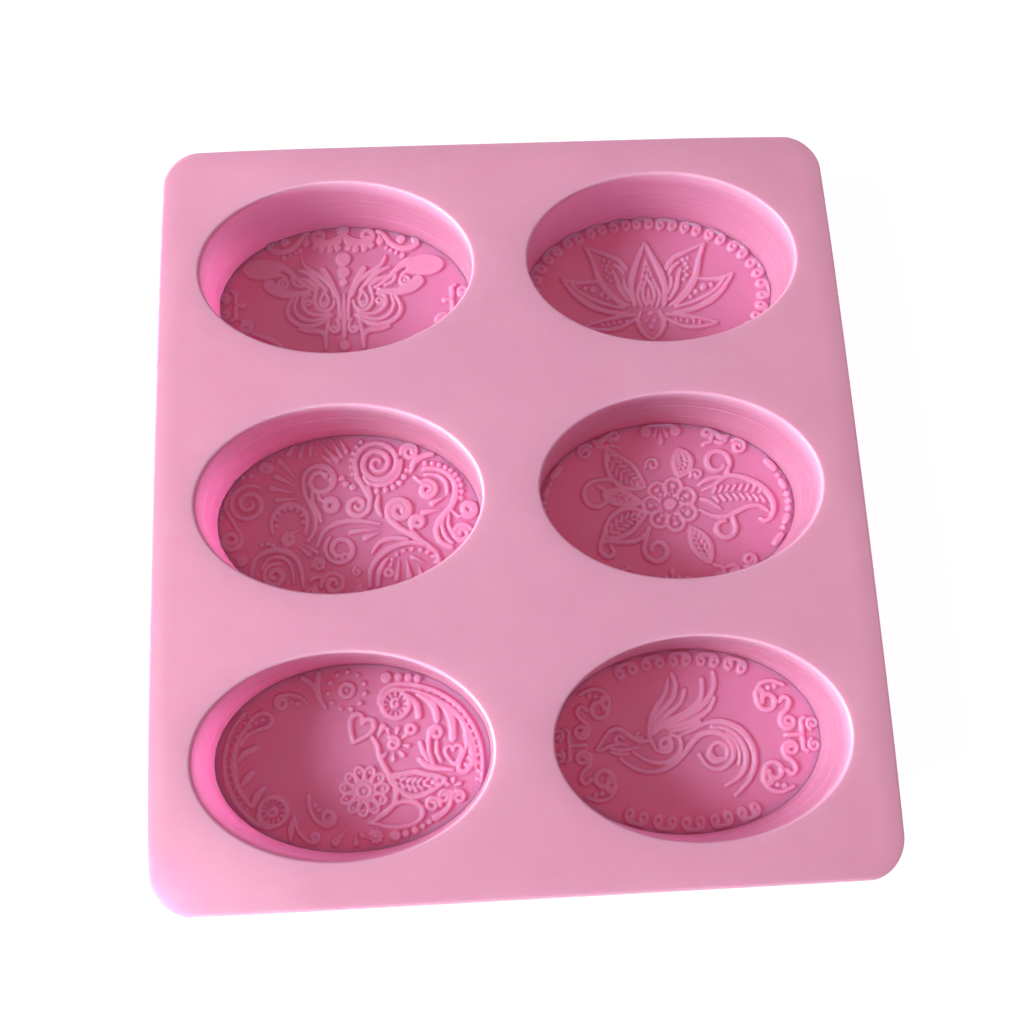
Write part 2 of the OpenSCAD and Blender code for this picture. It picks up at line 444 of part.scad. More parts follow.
module ornament_paisley() {
    // comb of long fingers on the right, under a beaded double edge
    rayed_coil([12.4, 14], 4.2, 60, 1);
    sweep([[7.6, 14.4], [8.4, 17.6], [11.6, 19.6], [17, 19.4], [23.4, 17.4], [29.4, 13.4], [33.8, 7.8],
        [36, 1.4], [36.4, -4], [35.8, -8.4]], [0.5, 0.6, 0.4]);
    sweep([[12.8, 18.2], [17.8, 17.6], [24, 15], [29.4, 11], [33, 5.6], [34.6, 0], [34.4, -4.6]],
        [0.3, 0.5, 0.3]);
    for (k = [0:15]) let (a = 76 - 6 * k) dot([14.6 + 20.8 * cos(a), -2.6 + 21.6 * sin(a)], 0.5);
    sweep([[15, 17], [17.4, 15], [18.6, 12.6], [18.8, 10.2]], [0.3, 0.9, 0.8]);
    sweep([[18.6, 16.4], [22, 14.4], [23.6, 11.8], [24, 9]], [0.3, 1, 0.8]);
    sweep([[23, 15], [26.4, 12.4], [28.2, 8.4], [28.3, 3.6]], [0.3, 1.1, 0.9]);
    sweep([[28, 11.6], [30.8, 8.6], [32.4, 4.4], [33.4, 0.6], [33.6, -3], [31.6, -5.6], [29.6, -5],
        [30.2, -2.4], [32, 1], [31.8, 4.8]], [0.4, 0.7, 0.4]);
    dots([[33, -0.4], [32.6, -2], [31.7, -3.7]], 0.6);
    dots([[9.8, 21.7], [13.3, 21.7], [16.2, 21.4], [18.8, 21]], 1.15);
    dot([9.8, 21.7], 1.6);
    // ring of dots and the fork
    ring([-1.5, 18.5], 1.9, 0.6);
    dot([-1.5, 18.5], 0.6);
    for (i = [0:10]) dot([-1.5, 18.4] + 5.3 * [cos(33 * i + 20), sin(33 * i + 20)], 0.7);
    sweep([[-14, 22.6], [-12, 21.2], [-10.4, 19.2], [-9.8, 17]], [0.8, 0.6, 0.4]);
    sweep([[-9.5, 23.4], [-9.8, 20], [-9.3, 16.6], [-7.6, 14]], [0.8, 0.8, 0.4]);
    // hearts
    heart([0.3, 3.8], -26, 1.05);
    heart([28.6, -3.6], 4, 0.72);
    // climbing stem with a rayed bloom
    sweep([[5.6, 5], [7, 2.6], [7.6, -0.8], [9.4, -4.2], [11.2, -7.4], [12, -10.6], [10.8, -14.2],
        [7.6, -16.8], [4.4, -18.2]], [0.5, 0.8, 0.4]);
    curl([11.4, 3], 2.1, 120, -1.3);
    for (i = [0:6]) drop([11.4, 3] + 2.6 * [cos(110 - 40 * i), sin(110 - 40 * i)],
        [11.4, 3] + 4.3 * [cos(110 - 40 * i), sin(110 - 40 * i)], 0.6);
    drop([7, 4.6], [8.6, 8], 0.9);
    ring([16.5, 6.8], 1.2, 0.6);
    // daisy
    ring([3, -9.6], 1.9, 0.6);
    dot([3, -9.6], 0.7);
    for (i = [0:10]) translate([3, -9.6]) rotate(i * 360 / 11 + 5) {
        sweep([[2.9, -0.3], [4.6, -1.2], [6.2, -1], [6.8, 0], [6.2, 1], [4.6, 1.2], [2.9, 0.3]],
            [0.3, 0.45, 0.3], 2);
        dot([5.3, 0], 0.45);
    }
    // veined leaf and the open drop under it
    leaf([[9.8, -6], [15, -8], [19.6, -8.4], [26, -7.4]], 3.4);
    sweep([[4.8, -18.3], [8.4, -15.6], [12, -13.4], [15.8, -13], [19, -14.8], [18.6, -17.8], [14.8, -19.6],
        [10, -19.6], [4.8, -18.3]], [0.4, 0.7, 0.4]);
    // fingers and a curl by the small heart
    ribbon(concat(curve([[22.6, -3.4], [21.4, 0.4], [21.4, 3.6]]), coil([23.6, 5.4], 2.1, 200, -1.2)),
        [0.5, 0.7, 0.5]);
    sweep([[18.6, -1.6], [20.8, -3.6], [24.4, -4.4], [28, -5]], [0.6, 0.8, 0.4]);
    sweep([[19, 3], [19.8, 0.4], [21.2, -2.4]], [0.5, 0.6, 0.3]);
    sweep([[23.8, 3], [23.6, 0], [24.8, -2.6]], [0.4, 0.6, 0.3]);
    // curls at the lower right
    curl([22, -14.2], 2.3, 350, 1.3);
    curl([25.4, -12.2], 1.9, 30, 1.3);
    curl([29.4, -12.4], 2, 150, -1.3);
    sweep([[27.4, -12], [26.8, -14.6], [24.8, -16.6], [22.6, -17.8]], [0.5, 0.7, 0.9]);
    for (i = [0:4]) drop([28, -9.4] + 0.5 * [cos(72 * i + 90), sin(72 * i + 90)],
        [28, -9.4] + 1.9 * [cos(72 * i + 90), sin(72 * i + 90)], 0.6);
    dot([11.5, -22], 1.4);
    dots([[14.4, -21.6], [17, -20.9]], 0.95);
    dots([[19.2, -19.9], [21, -18.7], [6, -22]], 0.7);
    for (i = [0:40:359]) tick([6, -22] + [cos(i), sin(i)], [6, -22] + 2.3 * [cos(i), sin(i)], 0.4);
    drop([0.4, -20.8], [0.5, -23.6], 0.8);
    drop([3.4, -22.4], [1.9, -21.4], 0.6);
    drop([-2, -19.6], [-5.2, -23], 1.2);
    // hooks at the lower left
    sweep([[-16.4, -15.6], [-17.4, -18.6], [-17.4, -22]], [0.4, 0.9, 0.4]);
    ribbon(concat(curve([[-15.8, -16.8], [-15.4, -19.8], [-12.6, -22.6]]), coil([-11, -21.4], 1.5, 260, 1)),
        [0.4, 0.6, 0.5]);
    ribbon(concat(curve([[-12.5, -10], [-12.3, -13.6], [-10.6, -16.8]]), coil([-7.2, -16.3], 2.5, 220, 1.4)),
        [0.5, 0.7, 0.5]);
    dots([[-10.8, -12.8], [-9.8, -14.2]], 0.6);
    // crescent comb on the left
    rayed_coil([-22.4, -13.8], 4.2, 190, 1);
    sweep([[-30.4, 13.4], [-33.4, 9.6], [-35.4, 4.4], [-36, -0.6], [-35, -6.4], [-32.4, -11.4],
        [-28.6, -15.6], [-24.4, -18.2], [-20.4, -17.6]], [0.4, 0.6, 0.5]);
    sweep([[-29, 10.4], [-31.8, 6.6], [-33.2, 2], [-33.2, -2.8], [-31.8, -7.6], [-28.4, -12.4]],
        [0.4, 0.9, 0.4]);
    for (k = [0:13]) let (a = 136 + 6.6 * k) dot([-14.6 + 20 * cos(a), -0.6 + 18.6 * sin(a)], 0.42);
    sweep([[-30.4, 8.6], [-28, 12], [-25.4, 13.4], [-22.8, 12.2], [-23.2, 9.8], [-26, 8.8], [-29.6, 7.4],
        [-31.4, 4.4]], [0.4, 0.7, 0.4]);
    dots([[-25.4, 11.3], [-27.2, 10.6], [-28.8, 9.6]], 0.6);
    sweep([[-31.8, 0], [-30.4, 2.2], [-27.4, 3.5]], [0.4, 1, 1]);
    sweep([[-31, -6.6], [-29.8, -4.8], [-28.3, -3.2]], [0.4, 1, 0.9]);
    sweep([[-27.8, -12.4], [-27, -9.6], [-25, -7.5]], [0.5, 1, 0.8]);
    // leaf curl at the upper left
    ribbon(concat(curve([[-12.6, 15.2], [-14.6, 17.2], [-17.6, 18.2]]), coil([-20, 15.9], 2.2, 80, 1.4)),
        [0.3, 0.6, 0.5]);
    dots([[-17, 16], [-15.6, 15.4]], 0.6);
}

module ornament_bird() {
    both_y() {
        // horned curls along the long sides
        for (h = [[0, 22.7, 0], [8.1, 22, -8], [16, 20.2, -18], [-7.9, 22, 8], [-15.8, 20.2, 18]])
            horns([h[0], h[1]], h[2]);
        // scrolls towards the ends
        both_x() {
            ribbon(concat(curve([[29.6, 14.2], [26.4, 15.6], [23, 15], [21.2, 12.4]]),
                coil([24.4, 9.9], 2.9, 190, 1, 0.5)), [0.5, 0.7, 0.7]);
            dot([23.1, 12.7], 1.1);
            dots([[25.1, 13.6], [26.9, 13.8]], 0.7);
            ribbon(concat(curve([[28, 9.6], [29.4, 10.9], [30.8, 9.6], [30.2, 7.6], [28.2, 6]]),
                coil([29.9, 3.8], 2.4, 150, 1.4, 0.25)), [0.6, 0.6, 0.5]);
            curl([36.8, 3], 1.9, 250, -1.2);
            sweep([[34.6, 4.8], [33.4, 3.8], [33.6, 2], [33.4, 0]], [0.5, 0.6, 0.6]);
        }
    }
    both_x() ribbon([[28.8, 0], [33.4, 0]], [0.6, 0.6, 0.5]);
    // head, beak, eye and neck
    sweep([[-26, -1.6], [-23.6, 1.4], [-21.4, 3.7], [-18.6, 3.9], [-16.4, 2.2], [-13.6, 0.2], [-10.8, 0.4]],
        [0.3, 0.8, 0.5]);
    sweep([[-25.6, -1.8], [-23.6, -1.4], [-21.6, -0.4], [-19.4, -0.4]], [0.4, 0.6, 0.3]);
    sweep([[-16.8, -0.6], [-18.6, -0.2], [-20.4, 1], [-19.4, 2.2], [-17.8, 1.2]], [0.3, 0.5, 0.4]);
    sweep([[-21.8, -1.3], [-19.4, -1.9], [-16.4, -1.8], [-14.2, -1.2]], [0.3, 0.5, 0.3]);
    sweep([[-22, -2.4], [-19.6, -3.1], [-16.8, -3.2]], [0.3, 0.5, 0.3]);
    curl([-13.4, 2.3], 1.3, 330, -0.8);
    // breast and body
    sweep([[-19.2, -4.4], [-15.8, -7], [-11.4, -8.4], [-6.6, -7.8], [-2.8, -5.6], [0.2, -2.6], [3.2, 0.6],
        [6.6, 1.9], [10.2, 1.2], [12.8, -1.6], [13.2, -5.2], [11, -7.8], [8, -8.6], [5, -7.2], [3.4, -4]],
        [0.5, 0.8, 0.5]);
    sweep([[-15.4, -2.8], [-12.8, -4.6], [-9.6, -5.8], [-6.2, -6], [-3.4, -4.6], [-1.6, -2], [-2, 0.8],
        [-4.4, 1.6]], [0.4, 0.7, 0.5]);
    ribbon(concat(curve([[-10.8, 2.4], [-9.8, -0.4], [-8.8, -2.6]]), coil([-6.2, -0.9], 2.5, 220, 1.3, 0.3)),
        [0.4, 0.7, 0.5]);
    // wing feathers
    sweep([[-10.6, 2.2], [-9.9, 6], [-7.6, 10], [-5, 13.4], [-3.9, 17.8]], [0.5, 0.9, 0.4]);
    sweep([[-9.4, 2], [-8.4, 6], [-5.6, 9.2], [-2.8, 12], [-1.7, 15.6], [-2.6, 19]], [0.4, 0.8, 0.5]);
    sweep([[-8.6, 2.4], [-7, 5.6], [-4, 8], [-0.8, 10.4], [0.9, 14.4]], [0.4, 0.7, 0.4]);
    sweep([[-7.8, 2.8], [-5.6, 5.2], [-0.4, 7.2], [3.6, 9.6], [5.7, 12.8], [6, 17]], [0.4, 0.8, 0.6]);
    sweep([[-6.6, 3.6], [-1.4, 5.8], [4.2, 8.4], [7.9, 12], [9.6, 15.6], [9.4, 18.8]], [0.3, 0.8, 0.5]);
    sweep([[-5.4, 3.4], [-0.6, 4.6], [3.8, 6], [7.4, 8.2], [9.3, 11.6]], [0.4, 0.8, 0.4]);
    sweep([[-4.4, 2.6], [0, 3.3], [4.4, 4.9]], [0.3, 0.6, 0.4]);
    // tail feathers
    sweep([[-1.8, 1.2], [2.4, 2.8], [6.4, 4.6], [11, 4.7], [15.6, 2.4], [18.6, -2], [19.2, -7], [17, -12],
        [12.6, -16]], [0.4, 0.9, 0.5]);
    sweep([[7.6, 3.3], [11.6, 2.7], [15, 0], [16.8, -4.2], [16.2, -8.4], [13.6, -11.4], [10.4, -13]],
        [0.4, 0.8, 0.5]);
    sweep([[11.6, 1.4], [13.8, -0.6], [15, -4.2], [14.6, -7.4]], [0.3, 0.5, 0.3]);
    ribbon(concat(curve([[6.8, -2.8], [5.9, -5], [7.4, -6.4]]), coil([9, -3.6], 2.8, 300, 1, 0.7)),
        [0.5, 0.6, 0.4]);
}

// Stands an ornament on a cup's floor, kept just inside the wall
module relief() {
    color("lightpink") translate([0, 0, floor_t]) linear_extrude(relief_h) offset(delta = lift)
        intersection() {
            children();
            scale([foot[0] - 0.8, foot[1] - 0.8]) circle(1, $fn = 72);
        }
}

// ---- Build -------------------------------------------------------------------------------

top_sheet();
edge_band();

for (c = CUPS) translate([c[1][0], c[1][1], 0]) {
    wall();
    cup_floor();
    relief() {
        if (c[0] == "butterfly") ornament_butterfly();
        if (c[0] == "lotus") ornament_lotus();
        if (c[0] == "scroll") ornament_scroll();
        if (c[0] == "blossom") ornament_blossom();
        if (c[0] == "paisley") ornament_paisley();
        if (c[0] == "bird") ornament_bird();
    }
}
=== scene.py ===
import math

import bpy
import numpy as np
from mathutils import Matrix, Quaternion, Vector
from mathutils.geometry import delaunay_2d_cdt


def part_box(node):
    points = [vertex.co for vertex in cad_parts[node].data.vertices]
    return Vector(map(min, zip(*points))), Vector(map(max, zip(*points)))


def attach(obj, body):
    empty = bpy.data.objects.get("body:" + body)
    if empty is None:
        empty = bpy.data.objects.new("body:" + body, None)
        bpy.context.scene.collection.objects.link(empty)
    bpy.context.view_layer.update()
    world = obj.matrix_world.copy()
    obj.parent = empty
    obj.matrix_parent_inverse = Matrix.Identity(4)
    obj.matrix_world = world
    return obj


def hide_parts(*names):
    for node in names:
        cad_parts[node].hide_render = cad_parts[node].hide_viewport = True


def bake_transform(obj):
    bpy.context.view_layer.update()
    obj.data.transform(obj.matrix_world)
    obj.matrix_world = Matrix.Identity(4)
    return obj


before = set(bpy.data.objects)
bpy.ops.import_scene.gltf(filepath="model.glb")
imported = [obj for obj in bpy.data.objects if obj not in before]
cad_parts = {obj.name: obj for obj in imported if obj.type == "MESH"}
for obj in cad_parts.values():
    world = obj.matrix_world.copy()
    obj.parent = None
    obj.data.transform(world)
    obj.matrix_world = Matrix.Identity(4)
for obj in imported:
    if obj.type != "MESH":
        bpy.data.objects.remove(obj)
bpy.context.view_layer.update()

MM = 0.001
MOTIFS = ("butterfly", "lotus", "scroll", "blossom", "paisley", "bird")

# ---------------------------------------------------------------- sizes: the frame's, where it has them


def smooth(t):
    """A soft step from 0 to 1 as t goes from 0 to 1."""
    t = min(max(t, 0.0), 1.0)
    return t * t * (3 - 2 * t)


def centre(node):
    """The middle of a CAD node's box, seen from above."""
    low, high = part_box(node)
    return np.array([(low.x + high.x) / 2, (low.y + high.y) / 2])


def half(node):
    """Half the width and length of a CAD node's box."""
    low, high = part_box(node)
    return np.array([(high.x - low.x) / 2, (high.y - low.y) / 2])


def mouth_semi(node):
    """The semi-axes of a wall's inner oval at its top, read from the CAD mesh."""
    co = np.array([v.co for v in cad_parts[node].data.vertices])
    top = co[co[:, 2] > co[:, 2].max() - 0.01 * MM][:, :2] - centre(node)
    inner = top[np.hypot(*(top / half(node)).T) < 0.99]
    return np.abs(inner).max(0)


OUTER = half("wall_lotus")                      # outer semi-axes of a cup's wall
MOUTH = mouth_semi("wall_lotus")                # inner semi-axes of a cup at its mouth
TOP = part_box("edge_band")[1].z                  # the sheet's top face
BAND_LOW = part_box("edge_band")[0].z             # the underside of the thicker edge
SHEET_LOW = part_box("top_sheet")[0].z            # the underside of the sheet
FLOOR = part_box("floor_lotus")[1].z              # the top of a cup's floor
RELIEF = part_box("relief_lotus")[1].z            # the top of an ornament
SHEET = half("edge_band")                       # half the sheet's width and length
BAND = SHEET[0] - half("top_sheet")[0]          # width of the thicker edge
CORNER = 11 * MM                                # the sheet's corner radius
BOW = 0.7 * MM                                  # how much the soft long sides swell at mid-length
SAG = {(-1, 1): 1.2 * MM, (-1, -1): 2.6 * MM,   # how far each corner hangs, by the signs of its x and y
       (1, 1): 1.2 * MM, (1, -1): 1.0 * MM}
SAG_REACH = 42 * MM                             # how far from a corner its hang is felt
LIP = 0.7 * MM                                  # the rounding of a cup's mouth
RINGS = (TOP - 0.40 * (TOP - FLOOR), TOP - 0.74 * (TOP - FLOOR))   # heights of the two moulding rings
STEP = 0.12 * MM                                # how far each ring steps in
DRAFT = 0.35 * MM                               # how much narrower a cup is at its foot, each side
SEAM = 0.03 * MM                                # the gap between a floor's skin and the wall
HOLLOW = 0.4 * MM                               # how far a floor's underside lies above the foot
FOOT_ROUND = 0.8 * MM                           # the rounding of a wall's outer foot
GRID = 300                                      # cells across a floor's mesh
ROUND = 256                                     # points round every oval loop of the walls


def inner_semi(z):
    """A cup's inner semi-axes at height z: a slight draft, and a small step at each ring."""
    down = (TOP - z) / TOP
    steps = sum(smooth((ring - z) / (0.3 * MM)) for ring in RINGS)
    return MOUTH - LIP - DRAFT * down - STEP * steps


# ---------------------------------------------------------------- mesh helpers


def oval(c, semi, z, n=ROUND):
    """A closed loop of n points round an oval, starting at -45 degrees."""
    a = np.arange(n) / n * 2 * math.pi - math.pi / 4
    return np.column_stack([c[0] + semi[0] * np.cos(a), c[1] + semi[1] * np.sin(a), np.full(n, z)])


def place_object(name, data, place=(0, 0, 0)):
    """Puts new data into the scene."""
    obj = bpy.data.objects.new(name, data)
    obj.location = place
    bpy.context.scene.collection.objects.link(obj)
    return obj


def set_values(obj, name, values):
    """Stores one number per point for a material to read."""
    data = obj.data.attributes.new(name, "FLOAT", "POINT").data
    data.foreach_set("value", np.asarray(values, np.float32))


class Builder:
    """Collects points, quads and triangles for one smooth mesh."""

    def __init__(self):
        self.points, self.faces, self.count = [], [], 0

    def add(self, pts):
        """Adds points and returns their indices."""
        self.points.append(np.asarray(pts, float))
        first = self.count
        self.count += len(pts)
        return np.arange(first, self.count)

    def strip(self, a, b):
        """Quads between two closed loops of indices of the same length."""
        self.faces.append(np.column_stack([a, b, np.roll(b, -1), np.roll(a, -1)]))

    def loops(self, rings):
        """Adds loops of points and joins each to the next; returns the first and last loop's indices."""
        ids = [self.add(r) for r in rings]
        for a, b in zip(ids, ids[1:]):
            self.strip(a, b)
        return ids[0], ids[-1]

    def make(self, name, material):
        """Makes the object."""
        pts = np.vstack(self.points)
        q = np.vstack([f for f in self.faces if f.shape[1] == 4])
        t = np.vstack([f for f in self.faces if f.shape[1] == 3])
        mesh = bpy.data.meshes.new(name)
        mesh.vertices.add(len(pts))
        mesh.vertices.foreach_set("co", pts.astype(np.float32).ravel())
        mesh.loops.add(q.size + t.size)
        mesh.loops.foreach_set("vertex_index", np.concatenate([q.ravel(), t.ravel()]).astype(np.int32))
        mesh.polygons.add(len(q) + len(t))
        starts = np.concatenate([np.arange(len(q)) * 4, q.size + np.arange(len(t)) * 3])
        mesh.polygons.foreach_set("loop_start", starts.astype(np.int32))
        mesh.update(calc_edges=True)
        mesh.validate()
        mesh.polygons.foreach_set("use_smooth", np.ones(len(mesh.polygons), bool))
        mesh.materials.append(material)
        return place_object(name, mesh)


# ---------------------------------------------------------------- relief heights


def outline_segments(node):
    """The top outline of a CAD ornament as an array of segments, from its upright faces."""
    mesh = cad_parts[node].data
    co = np.array([v.co for v in mesh.vertices])
    top = co[:, 2].max() - 0.01 * MM
    seen = {}
    for p in mesh.polygons:
        if abs(p.normal.z) > 0.3:
            continue
        ids = list(p.vertices)
        for i, j in zip(ids, ids[1:] + ids[:1]):
            if co[i, 2] > top and co[j, 2] > top:
                a, b = co[i, :2], co[j, :2]
                key = tuple(sorted((tuple(np.round(a * 1e7)), tuple(np.round(b * 1e7)))))
                seen[key] = (a, b)
    return np.array(list(seen.values()))


class Relief:
    """Heights of one ornament over its floor, on a fine grid, with rounded ribs."""

    CELL = 0.12 * MM
    REACH = 9.0                     # cells; distances are only needed this near to an outline
    TOE = 0.19 * MM                 # a rib starts this far outside its outline
    RAMP = 0.50 * MM                # and reaches its full height this far in from there

    def __init__(self, motif):
        self.c = centre("wall_" + motif)
        span = MOUTH + 1 * MM
        self.low = self.c - span
        self.shape = np.ceil(2 * span / self.CELL).astype(int) + 1      # columns, rows
        segs = (outline_segments("relief_" + motif) - self.low) / self.CELL
        near = self.distance(segs) * self.CELL
        signed = np.where(self.inside(segs), near, -near)
        for _ in range(5):
            signed = self.blur(signed)
        t = np.clip((signed + self.TOE) / self.RAMP, 0, 1)
        self.height = self.blur((RELIEF - FLOOR) * t * (2 - t))

    def distance(self, segs):
        """Distance in cells from each grid point to the nearest outline segment, near the outline."""
        reach = self.REACH
        d = np.full(self.shape[::-1], reach)
        for (ax, ay), (bx, by) in segs:
            x0, x1 = max(int(min(ax, bx) - reach), 0), min(int(max(ax, bx) + reach) + 2, self.shape[0])
            y0, y1 = max(int(min(ay, by) - reach), 0), min(int(max(ay, by) + reach) + 2, self.shape[1])
            gx, gy = np.arange(x0, x1)[None, :], np.arange(y0, y1)[:, None]
            vx, vy = bx - ax, by - ay
            t = np.clip(((gx - ax) * vx + (gy - ay) * vy) / max(vx * vx + vy * vy, 1e-9), 0, 1)
            part = np.hypot(gx - ax - t * vx, gy - ay - t * vy)
            d[y0:y1, x0:x1] = np.minimum(d[y0:y1, x0:x1], part)
        return d

    def inside(self, segs):
        """Even-odd test of each grid point against the outline."""
        hits = np.zeros((self.shape[1], self.shape[0] + 1), int)
        for (ax, ay), (bx, by) in segs:
            if ay == by:
                continue
            if ay > by:
                ax, ay, bx, by = bx, by, ax, ay
            rows = np.arange(max(math.ceil(ay), 0), min(math.ceil(by), self.shape[1]))
            cols = np.clip(np.ceil(ax + (rows - ay) * (bx - ax) / (by - ay)), 0, self.shape[0]).astype(int)
            np.add.at(hits, (rows, cols), 1)
        return np.cumsum(hits, axis=1)[:, :-1] % 2 == 1

    @staticmethod
    def blur(h):
        """A small smoothing over neighbouring cells."""
        for axis in (0, 1):
            h = 0.25 * np.roll(h, 1, axis) + 0.5 * h + 0.25 * np.roll(h, -1, axis)
        return h

    def at(self, xy):
        """Heights at points, read between grid cells."""
        g = (xy - self.low) / self.CELL
        i = np.clip(np.floor(g).astype(int), 0, self.shape - 2)
        f = g - i
        h = self.height
        low = h[i[:, 1], i[:, 0]] * (1 - f[:, 0]) + h[i[:, 1], i[:, 0] + 1] * f[:, 0]
        high = h[i[:, 1] + 1, i[:, 0]] * (1 - f[:, 0]) + h[i[:, 1] + 1, i[:, 0] + 1] * f[:, 0]
        return low * (1 - f[:, 1]) + high * f[:, 1]


def disc_grid():
    """A square grid of GRID cells mapped onto the unit disc, its quads, and its rim in order."""
    u = np.linspace(-1, 1, GRID + 1)
    x, y = np.meshgrid(u, u)
    wide = np.abs(x) > np.abs(y)
    r = np.where(wide, x, y)
    with np.errstate(divide="ignore", invalid="ignore"):
        a = np.where(wide, math.pi / 4 * y / x, math.pi / 2 - math.pi / 4 * x / y)
    a[np.isnan(a)] = 0
    disc = np.column_stack([(r * np.cos(a)).ravel(), (r * np.sin(a)).ravel()])
    n = GRID + 1
    idx = np.arange(n * n).reshape(n, n)
    quads = np.column_stack([idx[:-1, :-1].ravel(), idx[:-1, 1:].ravel(), idx[1:, 1:].ravel(),
                             idx[1:, :-1].ravel()])
    rim = np.concatenate([idx[:-1, -1], idx[-1, :0:-1], idx[:0:-1, 0], idx[0, :-1]])
    return disc, quads, rim


# ---------------------------------------------------------------- pieces


def floor_skin(motif, material, disc, quads, rim):
    """One cup's floor with its ornament, and the thin ring under its rim."""
    c = centre("wall_" + motif)
    b = Builder()
    semi = inner_semi(FLOOR) - SEAM
    flat = c + disc * semi
    height = Relief(motif).at(flat)
    ids = b.add(np.column_stack([flat, FLOOR + height]))
    b.faces.append(ids[quads])
    side = [oval(c, semi, z, 4 * GRID) for z in (1.2 * MM, 0.8 * MM, 0)]
    under = [oval(c, semi - d * MM, z, 4 * GRID) for d, z in ((0.5, 0), (0.5, HOLLOW), (3, HOLLOW))]
    first, last = b.loops(side + under)
    b.strip(ids[rim], first)
    hub = b.add([[c[0], c[1], HOLLOW]])[0]
    b.faces.append(np.column_stack([last, np.full(len(last), hub), np.roll(last, -1)]))
    obj = b.make("cup_floor_" + motif, material)
    fraction = np.zeros(b.count)
    fraction[ids] = height / (RELIEF - FLOOR)
    # the "raised" value places the painted light on the ornament's tops
    set_values(obj, "raised", fraction)
    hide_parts("floor_" + motif, "relief_" + motif)
    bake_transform(obj)
    return obj


def round_rect(inset, z, turn=20, along=56):
    """A loop round the sheet, moved in by inset: turn steps round each corner, along steps on each side."""
    r = CORNER - inset
    hub = SHEET - CORNER
    signs = np.array([(1, 1), (-1, 1), (-1, -1), (1, -1)])
    pts = []
    for k in range(4):
        for i in range(turn + 1):
            a = math.pi / 2 * (k + i / turn)
            pts.append(signs[k] * hub + r * np.array([math.cos(a), math.sin(a)]))
        step = (signs[(k + 1) % 4] - signs[k]) * hub / along
        pts += [pts[-1] + step * i for i in range(1, along)]
    return np.column_stack([np.array(pts), np.full(len(pts), z)])


def plate(b, outer, holes, spots, under=False):
    """Fills the flat region between an outer loop and the six mouths' loops, all already in the builder."""
    loops = [outer] + holes
    pts = np.vstack(b.points)
    ids = np.concatenate(loops)
    verts = [Vector(p) for p in pts[ids][:, :2] / MM]
    edges, start = [], 0
    for loop in loops:
        n = len(loop)
        edges += [(start + i, start + (i + 1) % n) for i in range(n)]
        start += n
    extra = [Vector(p) for p in spots / MM]
    out, _, faces, orig, _, _ = delaunay_2d_cdt(verts + extra, edges, [], 0, 1e-5, True)
    known, new = [], []
    for point, o in zip(out, orig):
        if o and o[0] < len(ids):
            known.append(ids[o[0]])
        else:
            known.append(b.count + len(new))
            new.append((point[0] * MM, point[1] * MM, pts[outer[0], 2]))
    b.add(new)
    centres = [centre("wall_" + m) for m in MOTIFS]
    semis = [np.ptp(pts[h][:, :2], axis=0) / 2 for h in holes]
    tris = []
    for f in faces:
        m = sum((np.array(out[i]) for i in f), np.zeros(2)) / len(f) * MM
        on_sheet = np.hypot(*np.maximum(np.abs(m) - (SHEET - CORNER), 0)) <= CORNER
        if on_sheet and all(np.hypot(*((m - c) / semi)) >= 1 for c, semi in zip(centres, semis)):
            tris.append([known[i] for i in f])
    tris = np.array(tris)
    b.faces.append(tris[:, ::-1] if under else tris)


def sheet_spots(clear):
    """Points spread over the sheet, clear of the cups and of the edge."""
    gap = 4 * MM
    x, y = np.meshgrid(*(np.arange(-size + 6 * MM, size - 5 * MM, gap) for size in SHEET))
    p = np.column_stack([x.ravel(), y.ravel()])
    keep = np.hypot(*np.maximum(np.abs(p) - (SHEET - CORNER), 0).T) < CORNER - gap
    for m in MOTIFS:
        keep &= np.hypot(*((p - centre("wall_" + m)) / (MOUTH + clear)).T) > 1
    return p[keep]


def settle(pts):
    """Moves the skin's points the way the soft sheet lies: sides bowed a little, corners hanging."""
    pts = pts.copy()
    high = np.clip(pts[:, 2] / TOP, 0, 1)
    ends = (pts[:, 1] / SHEET[1]) ** 2
    beside = np.clip((np.abs(pts[:, 0]) - 84 * MM) / (12 * MM), 0, 1)      # 0 but near the long sides
    pts[:, 0] -= np.sign(pts[:, 0]) * BOW * ends * beside * high
    for (sx, sy), drop in SAG.items():
        far = np.hypot(pts[:, 0] - sx * SHEET[0], pts[:, 1] - sy * SHEET[1])
        pts[:, 2] -= drop * high * np.clip(1 - far / SAG_REACH, 0, 1) ** 1.5
    return pts


def wall_rings(c):
    """The loops of one cup's wall: down the outside, round the foot, up the inside and over the lip."""
    rings = [oval(c, OUTER + 0.7 * MM, SHEET_LOW), oval(c, OUTER + 0.2 * MM, SHEET_LOW - 0.2 * MM)]
    rings += [oval(c, OUTER, z) for z in np.linspace(SHEET_LOW - 0.7 * MM, 4 * MM, 6)]
    rings += [oval(c, OUTER - FOOT_ROUND * (1 - math.cos(a)), FOOT_ROUND * (1 - math.sin(a)))
              for a in (0, 0.55, 1.05, math.pi / 2)]
    rings += [oval(c, inner_semi(0) + d * MM, z * MM) for d, z in ((0.4, 0), (0.1, 0.1))]
    heights = list(np.linspace(0.5 * MM, TOP - LIP, 18))
    for ring in RINGS:
        heights += [ring + d * MM for d in (0.15, 0, -0.1, -0.2, -0.3, -0.45)]
    rings += [oval(c, inner_semi(z), z) for z in sorted(heights)]
    rings += [oval(c, inner_semi(TOP - LIP) + LIP * (1 - math.cos(a)), TOP - LIP * (1 - math.sin(a)))
              for a in (0.2, 0.45, 0.7, 0.95, 1.2, 1.4, math.pi / 2)]
    return rings


